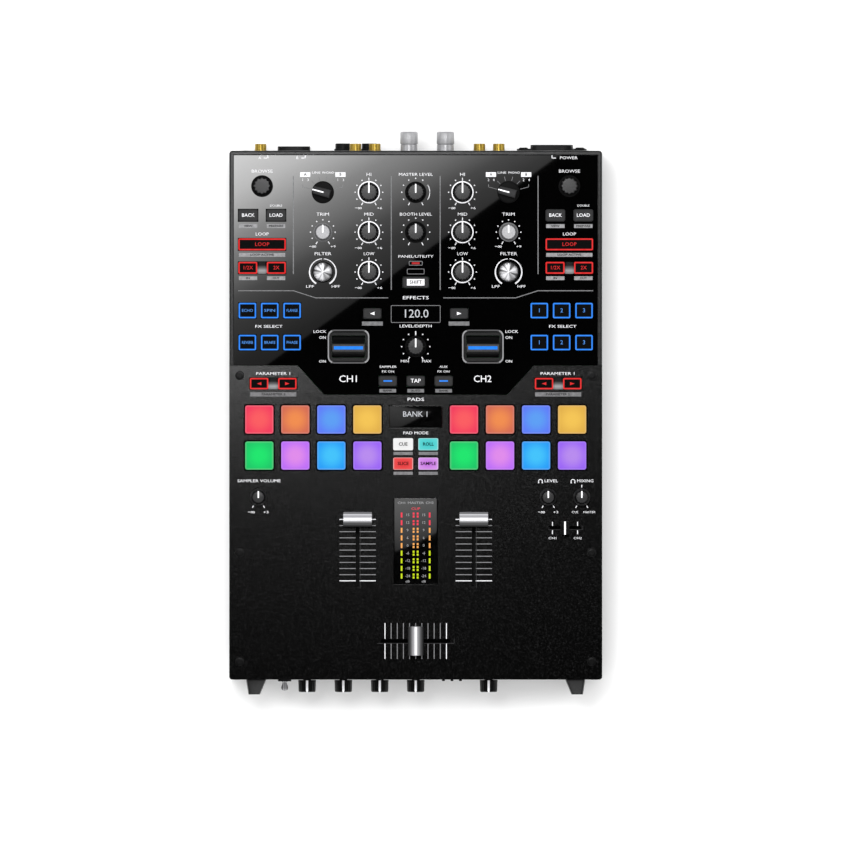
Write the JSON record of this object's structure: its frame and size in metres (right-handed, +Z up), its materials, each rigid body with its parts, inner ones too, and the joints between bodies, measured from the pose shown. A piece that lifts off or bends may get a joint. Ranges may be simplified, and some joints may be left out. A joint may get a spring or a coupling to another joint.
{
  "type": "dj mixer",
  "caption": "Two-channel performance mixer with rotary controls, glowing pads and keys, effect paddles, channel faders and a crossfader in a low black case.",
  "frame": {"origin": "on the resting surface, under the middle of the overall box", "axes": "+Z up, +Y to the rear with its sockets, +X to the right of a person standing at the front"},
  "size_m": [0.267, 0.4034, 0.105],
  "materials": {
    "black_steel": "fine textured satin black",
    "gloss_black": "high gloss",
    "green_board": "solder mask",
    "black_plastic": "satin",
    "grey_plastic": "satin",
    "light_grey_plastic": "satin",
    "silver_plastic": "metallic",
    "fader_metal": "brushed",
    "chrome": "bright",
    "smoked_window": "smoked gloss",
    "pad_rubber": "translucent silicone"
  },
  "bodies": {
    "chassis": {"base_tray": "black_steel", "front_panel": "black_steel", "rear_panel": "black_steel", "upper_frame": "black_steel", "gloss_panel": "gloss_black", "lower_plate": "black_steel", "control_board": "green_board", "jack_board": "black_plastic", "fader_board": "green_board", "crossfader_unit": "fader_metal", "meter_window": "smoked_window", "pad_display": "smoked_window", "paddle_bezel_left": "chrome", "paddle_bezel_right": "chrome", "mic_jack": "black_plastic", "power_supply": "black_plastic"},
    "browse_knob_left": {"browse_knob_left": "black_plastic"},
    "input_selector_left": {"input_selector_left": "black_plastic"},
    "trim_knob_left": {"trim_knob_left": "light_grey_plastic"},
    "filter_knob_left": {"filter_knob_left": "silver_plastic"},
    "high_knob_left": {"high_knob_left": "black_plastic"},
    "mid_knob_left": {"mid_knob_left": "black_plastic"},
    "low_knob_left": {"low_knob_left": "black_plastic"},
    "browse_knob_right": {"browse_knob_right": "black_plastic"},
    "input_selector_right": {"input_selector_right": "black_plastic"},
    "trim_knob_right": {"trim_knob_right": "light_grey_plastic"},
    "filter_knob_right": {"filter_knob_right": "silver_plastic"},
    "high_knob_right": {"high_knob_right": "black_plastic"},
    "mid_knob_right": {"mid_knob_right": "black_plastic"},
    "low_knob_right": {"low_knob_right": "black_plastic"},
    "master_level_knob": {"master_level_knob": "black_plastic"},
    "booth_level_knob": {"booth_level_knob": "black_plastic"},
    "effect_depth_knob": {"effect_depth_knob": "black_plastic"},
    "sampler_level_knob": {"sampler_level_knob": "black_plastic"},
    "phones_level_knob": {"phones_level_knob": "black_plastic"},
    "phones_mix_knob": {"phones_mix_knob": "black_plastic"},
    "front_knob_1": {"front_knob_1": "black_plastic"},
    "front_knob_2": {"front_knob_2": "black_plastic"},
    "front_knob_3": {"front_knob_3": "black_plastic"},
    "front_knob_4": {"front_knob_4": "black_plastic"},
    "front_knob_5": {"front_knob_5": "black_plastic"},
    "front_toggle": {"front_toggle": "chrome"},
    "power_switch": {"power_switch": "black_plastic"},
    "effect_paddle_left": {"effect_paddle_left": "black_plastic"},
    "parameter_rocker_left": {"parameter_rocker_left": "grey_plastic"},
    "effect_paddle_right": {"effect_paddle_right": "black_plastic"},
    "parameter_rocker_right": {"parameter_rocker_right": "grey_plastic"},
    "channel_fader_left": {"channel_fader_left": "silver_plastic"},
    "channel_fader_right": {"channel_fader_right": "silver_plastic"},
    "crossfader": {"crossfader": "silver_plastic"},
    "cue_slider": {"cue_slider": "black_plastic"},
    "reverse_switches": {"reverse_switches": "black_plastic"},
    "pad_mat_left": {"pad_mat_left": "pad_rubber"},
    "pad_mat_right": {"pad_mat_right": "pad_rubber"},
    "deck_keypad_left": {"deck_keypad_left": "grey_plastic"},
    "deck_keypad_right": {"deck_keypad_right": "grey_plastic"},
    "effect_keypad_left": {"effect_keypad_left": "black_plastic"},
    "effect_keypad_right": {"effect_keypad_right": "black_plastic"},
    "centre_keypad": {"centre_keypad": "grey_plastic"},
    "pad_mode_keypad": {"pad_mode_keypad": "grey_plastic"}
  },
  "joints": [
    {"name": "browse_knob_left_turn", "type": "hinge", "parent": "chassis", "child": "browse_knob_left", "pos_m": [-0.11, 0.1624, 0.088], "axis": [0, 0, 1], "continuous": true},
    {"name": "input_selector_left_turn", "type": "hinge", "parent": "chassis", "child": "input_selector_left", "pos_m": [-0.0665, 0.158, 0.088], "axis": [0, 0, 1], "range_deg": [-150, 0]},
    {"name": "trim_knob_left_turn", "type": "hinge", "parent": "chassis", "child": "trim_knob_left", "pos_m": [-0.0665, 0.12945, 0.088], "axis": [0, 0, 1], "range_deg": [-150, 150]},
    {"name": "filter_knob_left_turn", "type": "hinge", "parent": "chassis", "child": "filter_knob_left", "pos_m": [-0.0665, 0.1009, 0.088], "axis": [0, 0, 1], "range_deg": [-150, 150]},
    {"name": "high_knob_left_turn", "type": "hinge", "parent": "chassis", "child": "high_knob_left", "pos_m": [-0.0335, 0.158, 0.088], "axis": [0, 0, 1], "range_deg": [-150, 150]},
    {"name": "mid_knob_left_turn", "type": "hinge", "parent": "chassis", "child": "mid_knob_left", "pos_m": [-0.0335, 0.12945, 0.088], "axis": [0, 0, 1], "range_deg": [-150, 150]},
    {"name": "low_knob_left_turn", "type": "hinge", "parent": "chassis", "child": "low_knob_left", "pos_m": [-0.0335, 0.1009, 0.088], "axis": [0, 0, 1], "range_deg": [-150, 150]},
    {"name": "browse_knob_right_turn", "type": "hinge", "parent": "chassis", "child": "browse_knob_right", "pos_m": [0.11, 0.1624, 0.088], "axis": [0, 0, 1], "continuous": true},
    {"name": "input_selector_right_turn", "type": "hinge", "parent": "chassis", "child": "input_selector_right", "pos_m": [0.0665, 0.158, 0.088], "axis": [0, 0, 1], "range_deg": [-150, 0]},
    {"name": "trim_knob_right_turn", "type": "hinge", "parent": "chassis", "child": "trim_knob_right", "pos_m": [0.0665, 0.12945, 0.088], "axis": [0, 0, 1], "range_deg": [-150, 150]},
    {"name": "filter_knob_right_turn", "type": "hinge", "parent": "chassis", "child": "filter_knob_right", "pos_m": [0.0665, 0.1009, 0.088], "axis": [0, 0, 1], "range_deg": [-150, 150]},
    {"name": "high_knob_right_turn", "type": "hinge", "parent": "chassis", "child": "high_knob_right", "pos_m": [0.0335, 0.158, 0.088], "axis": [0, 0, 1], "range_deg": [-150, 150]},
    {"name": "mid_knob_right_turn", "type": "hinge", "parent": "chassis", "child": "mid_knob_right", "pos_m": [0.0335, 0.12945, 0.088], "axis": [0, 0, 1], "range_deg": [-150, 150]},
    {"name": "low_knob_right_turn", "type": "hinge", "parent": "chassis", "child": "low_knob_right", "pos_m": [0.0335, 0.1009, 0.088], "axis": [0, 0, 1], "range_deg": [-150, 150]},
    {"name": "master_level_knob_turn", "type": "hinge", "parent": "chassis", "child": "master_level_knob", "pos_m": [0, 0.158, 0.088], "axis": [0, 0, 1], "range_deg": [-150, 150]},
    {"name": "booth_level_knob_turn", "type": "hinge", "parent": "chassis", "child": "booth_level_knob", "pos_m": [0, 0.12945, 0.088], "axis": [0, 0, 1], "range_deg": [-150, 150]},
    {"name": "effect_depth_knob_turn", "type": "hinge", "parent": "chassis", "child": "effect_depth_knob", "pos_m": [0, 0.0475, 0.088], "axis": [0, 0, 1], "range_deg": [-150, 150]},
    {"name": "sampler_level_knob_turn", "type": "hinge", "parent": "chassis", "child": "sampler_level_knob", "pos_m": [-0.1126, -0.0603, 0.088], "axis": [0, 0, 1], "range_deg": [-150, 150]},
    {"name": "phones_level_knob_turn", "type": "hinge", "parent": "chassis", "child": "phones_level_knob", "pos_m": [0.0949, -0.0603, 0.088], "axis": [0, 0, 1], "range_deg": [-150, 150]},
    {"name": "phones_mix_knob_turn", "type": "hinge", "parent": "chassis", "child": "phones_mix_knob", "pos_m": [0.1189, -0.0603, 0.088], "axis": [0, 0, 1], "range_deg": [-150, 150]},
    {"name": "front_knob_1_turn", "type": "hinge", "parent": "chassis", "child": "front_knob_1", "pos_m": [-0.0779, -0.1909, 0.05], "axis": [0, -1, 0], "range_deg": [-150, 150]},
    {"name": "front_knob_2_turn", "type": "hinge", "parent": "chassis", "child": "front_knob_2", "pos_m": [-0.0519, -0.1909, 0.05], "axis": [0, -1, 0], "range_deg": [-150, 150]},
    {"name": "front_knob_3_turn", "type": "hinge", "parent": "chassis", "child": "front_knob_3", "pos_m": [-0.0258, -0.1909, 0.05], "axis": [0, -1, 0], "range_deg": [-150, 150]},
    {"name": "front_knob_4_turn", "type": "hinge", "parent": "chassis", "child": "front_knob_4", "pos_m": [0, -0.1909, 0.05], "axis": [0, -1, 0], "range_deg": [-150, 150]},
    {"name": "front_knob_5_turn", "type": "hinge", "parent": "chassis", "child": "front_knob_5", "pos_m": [0.0523, -0.1909, 0.05], "axis": [0, -1, 0], "range_deg": [-150, 150]},
    {"name": "front_toggle_turn", "type": "hinge", "parent": "chassis", "child": "front_toggle", "pos_m": [-0.094, -0.1909, 0.05], "axis": [1, 0, 0], "range_deg": [-22, 0]},
    {"name": "power_switch_turn", "type": "hinge", "parent": "chassis", "child": "power_switch", "pos_m": [0.0976, 0.1848, 0.066], "axis": [0, 0, 1], "range_deg": [-14, 0]},
    {"name": "effect_paddle_left_turn", "type": "hinge", "parent": "chassis", "child": "effect_paddle_left", "pos_m": [-0.0481, 0.0475, 0.084], "axis": [1, 0, 0], "range_deg": [-18, 18], "stiffness_Nm_per_rad": 0.06},
    {"name": "parameter_rocker_left_turn", "type": "hinge", "parent": "chassis", "child": "parameter_rocker_left", "pos_m": [-0.102, 0.021, 0.088], "axis": [0, 1, 0], "range_deg": [-3.5, 3.5], "stiffness_Nm_per_rad": 0.06},
    {"name": "effect_paddle_right_turn", "type": "hinge", "parent": "chassis", "child": "effect_paddle_right", "pos_m": [0.0481, 0.0475, 0.084], "axis": [1, 0, 0], "range_deg": [-18, 18], "stiffness_Nm_per_rad": 0.06},
    {"name": "parameter_rocker_right_turn", "type": "hinge", "parent": "chassis", "child": "parameter_rocker_right", "pos_m": [0.102, 0.021, 0.088], "axis": [0, 1, 0], "range_deg": [-3.5, 3.5], "stiffness_Nm_per_rad": 0.06},
    {"name": "channel_fader_left_slide", "type": "slide", "parent": "chassis", "child": "channel_fader_left", "axis": [0, 1, 0], "range_m": [-0.045, 0]},
    {"name": "channel_fader_right_slide", "type": "slide", "parent": "chassis", "child": "channel_fader_right", "axis": [0, 1, 0], "range_m": [-0.045, 0]},
    {"name": "crossfader_slide", "type": "slide", "parent": "chassis", "child": "crossfader", "axis": [1, 0, 0], "range_m": [-0.0225, 0.0225]},
    {"name": "cue_slider_slide", "type": "slide", "parent": "chassis", "child": "cue_slider", "axis": [1, 0, 0], "range_m": [-0.009, 0.009]},
    {"name": "reverse_switches_slide", "type": "slide", "parent": "chassis", "child": "reverse_switches", "axis": [1, 0, 0], "range_m": [0, 0.0024]},
    {"name": "pad_mat_left_slide", "type": "slide", "parent": "chassis", "child": "pad_mat_left", "axis": [0, 0, -1], "range_m": [0, 0.001], "stiffness_N_per_m": 2400, "springref_m": -0.0006},
    {"name": "pad_mat_right_slide", "type": "slide", "parent": "chassis", "child": "pad_mat_right", "axis": [0, 0, -1], "range_m": [0, 0.001], "stiffness_N_per_m": 2400, "springref_m": -0.0006},
    {"name": "deck_keypad_left_slide", "type": "slide", "parent": "chassis", "child": "deck_keypad_left", "axis": [0, 0, -1], "range_m": [0, 0.001], "stiffness_N_per_m": 1200, "springref_m": -0.0006},
    {"name": "deck_keypad_right_slide", "type": "slide", "parent": "chassis", "child": "deck_keypad_right", "axis": [0, 0, -1], "range_m": [0, 0.001], "stiffness_N_per_m": 1200, "springref_m": -0.0006},
    {"name": "effect_keypad_left_slide", "type": "slide", "parent": "chassis", "child": "effect_keypad_left", "axis": [0, 0, -1], "range_m": [0, 0.001], "stiffness_N_per_m": 1200, "springref_m": -0.0006},
    {"name": "effect_keypad_right_slide", "type": "slide", "parent": "chassis", "child": "effect_keypad_right", "axis": [0, 0, -1], "range_m": [0, 0.001], "stiffness_N_per_m": 1200, "springref_m": -0.0006},
    {"name": "centre_keypad_slide", "type": "slide", "parent": "chassis", "child": "centre_keypad", "axis": [0, 0, -1], "range_m": [0, 0.001], "stiffness_N_per_m": 1200, "springref_m": -0.0006},
    {"name": "pad_mode_keypad_slide", "type": "slide", "parent": "chassis", "child": "pad_mode_keypad", "axis": [0, 0, -1], "range_m": [0, 0.001], "stiffness_N_per_m": 900, "springref_m": -0.0006}
  ]
}
